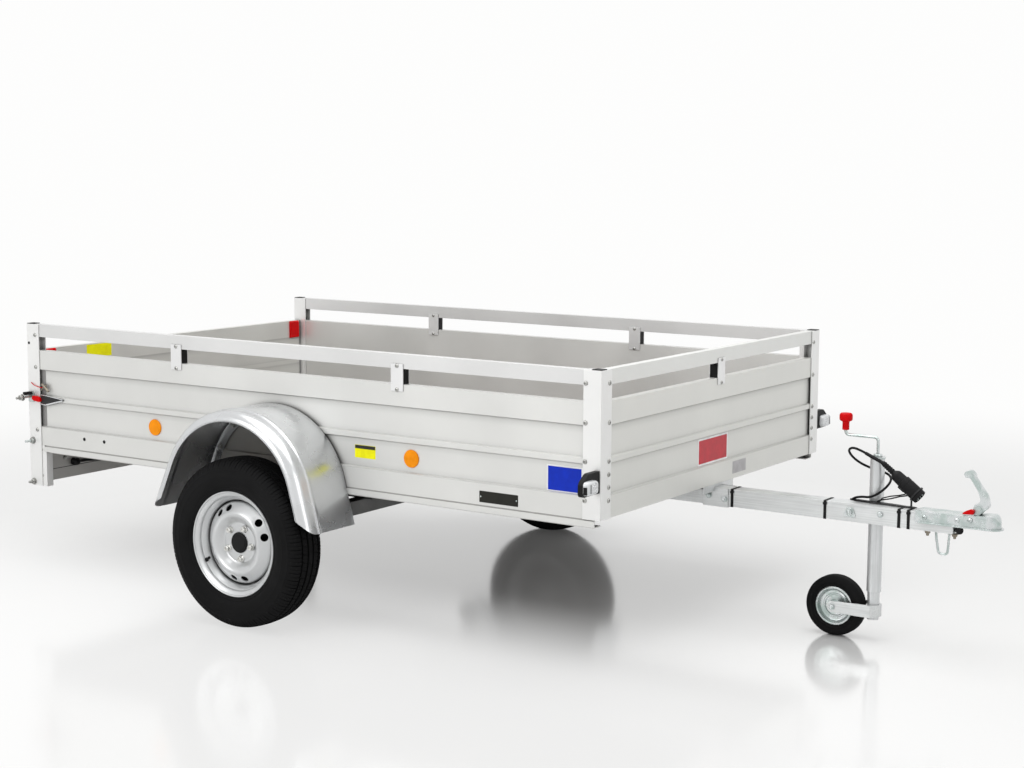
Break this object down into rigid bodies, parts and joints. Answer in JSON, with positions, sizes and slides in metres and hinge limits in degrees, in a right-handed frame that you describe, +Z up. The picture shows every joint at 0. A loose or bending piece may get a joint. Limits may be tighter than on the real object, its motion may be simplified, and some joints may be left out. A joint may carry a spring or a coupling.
{
  "type": "utility trailer",
  "caption": "Single-axle open utility trailer with ribbed aluminium sides, raised rail, hinged tailgate, central drawbar and jockey wheel.",
  "frame": {"origin": "on the ground under the middle of the overall length, on the centre line", "axes": "+X forward along the drawbar towards the coupling, +Y to the trailer's left, +Z up"},
  "size_m": [3.569, 2.1112, 0.9555],
  "materials": {
    "aluminium_wall": "satin",
    "aluminium_post": "satin",
    "galvanised_steel": "satin",
    "zinc_steel": "gloss",
    "mudguard_steel": "satin",
    "silver_paint": "satin",
    "black_steel": "satin",
    "black_plastic": "matte",
    "cable_rubber": "matte",
    "tyre_rubber": "matte",
    "red_plastic": "gloss",
    "red_lens": "gloss",
    "orange_plastic": "gloss",
    "clear_plastic": "gloss",
    "floor_board": "satin"
  },
  "bodies": {
    "chassis": {"side_wall_right": "aluminium_wall", "side_wall_left": "aluminium_wall", "front_wall": "aluminium_wall", "front_posts": "aluminium_post", "rear_posts": "aluminium_post", "post_caps": "black_plastic", "side_rails": "aluminium_post", "front_rail": "aluminium_post", "rail_plates": "aluminium_post", "rail_spacers": "black_plastic", "floor_panel": "floor_board", "side_sills": "aluminium_wall", "cross_members": "galvanised_steel", "side_members": "galvanised_steel", "lamp_bar": "aluminium_wall", "rear_lamps": "red_lens", "gate_pins": "zinc_steel", "axle_beam": "galvanised_steel", "swing_arms": "black_steel", "mudguard_right": "mudguard_steel", "mudguard_left": "mudguard_steel", "drawbar": "galvanised_steel", "drawbar_bracket": "galvanised_steel", "coupling_head": "zinc_steel", "coupling_handle": "zinc_steel", "jockey_clamp": "galvanised_steel", "cable_run": "cable_rubber", "cable": "cable_rubber", "plug": "black_plastic", "plug_holder": "black_steel", "guide_loop": "zinc_steel", "tailgate_latches": "zinc_steel", "reflectors": "orange_plastic", "front_lamp_bases": "black_plastic", "front_lamp_lenses": "clear_plastic"},
    "tailgate": {"tailgate": "aluminium_wall"},
    "wheel_right": {"tyre_right": "tyre_rubber", "wheel_rim_right": "silver_paint", "hub_cap_right": "black_plastic"},
    "wheel_left": {"tyre_left": "tyre_rubber", "wheel_rim_left": "silver_paint", "hub_cap_left": "black_plastic"},
    "jockey_post": {"jockey_tube": "galvanised_steel", "jockey_crank": "zinc_steel", "jockey_knob": "red_plastic"},
    "jockey_stem": {"jockey_leg": "zinc_steel"},
    "jockey_caster": {"jockey_fork": "zinc_steel"},
    "jockey_wheel": {"jockey_tyre": "tyre_rubber", "jockey_rim": "zinc_steel"}
  },
  "joints": [
    {"name": "tailgate_hinge", "type": "hinge", "parent": "chassis", "child": "tailgate", "pos_m": [-1.7665, 0, 0.501], "axis": [0, -1, 0], "range_deg": [0, 175]},
    {"name": "wheel_right_spin", "type": "hinge", "parent": "chassis", "child": "wheel_right", "pos_m": [-0.5175, -0.975, 0.292], "axis": [0, 1, 0], "continuous": true},
    {"name": "wheel_left_spin", "type": "hinge", "parent": "chassis", "child": "wheel_left", "pos_m": [-0.5175, 0.975, 0.292], "axis": [0, 1, 0], "continuous": true},
    {"name": "jockey_clamp_slide", "type": "slide", "parent": "chassis", "child": "jockey_post", "axis": [0, 0, 1], "range_m": [0, 0.15]},
    {"name": "jockey_spindle", "type": "slide", "parent": "jockey_post", "child": "jockey_stem", "axis": [0, 0, 1], "range_m": [-0.12, 0.038]},
    {"name": "jockey_swivel", "type": "hinge", "parent": "jockey_stem", "child": "jockey_caster", "pos_m": [1.3305, 0.07, 0.103], "axis": [0, 0, 1], "continuous": true},
    {"name": "jockey_wheel_spin", "type": "hinge", "parent": "jockey_caster", "child": "jockey_wheel", "pos_m": [1.1985, 0.07, 0.103], "axis": [0, 1, 0], "continuous": true}
  ]
}
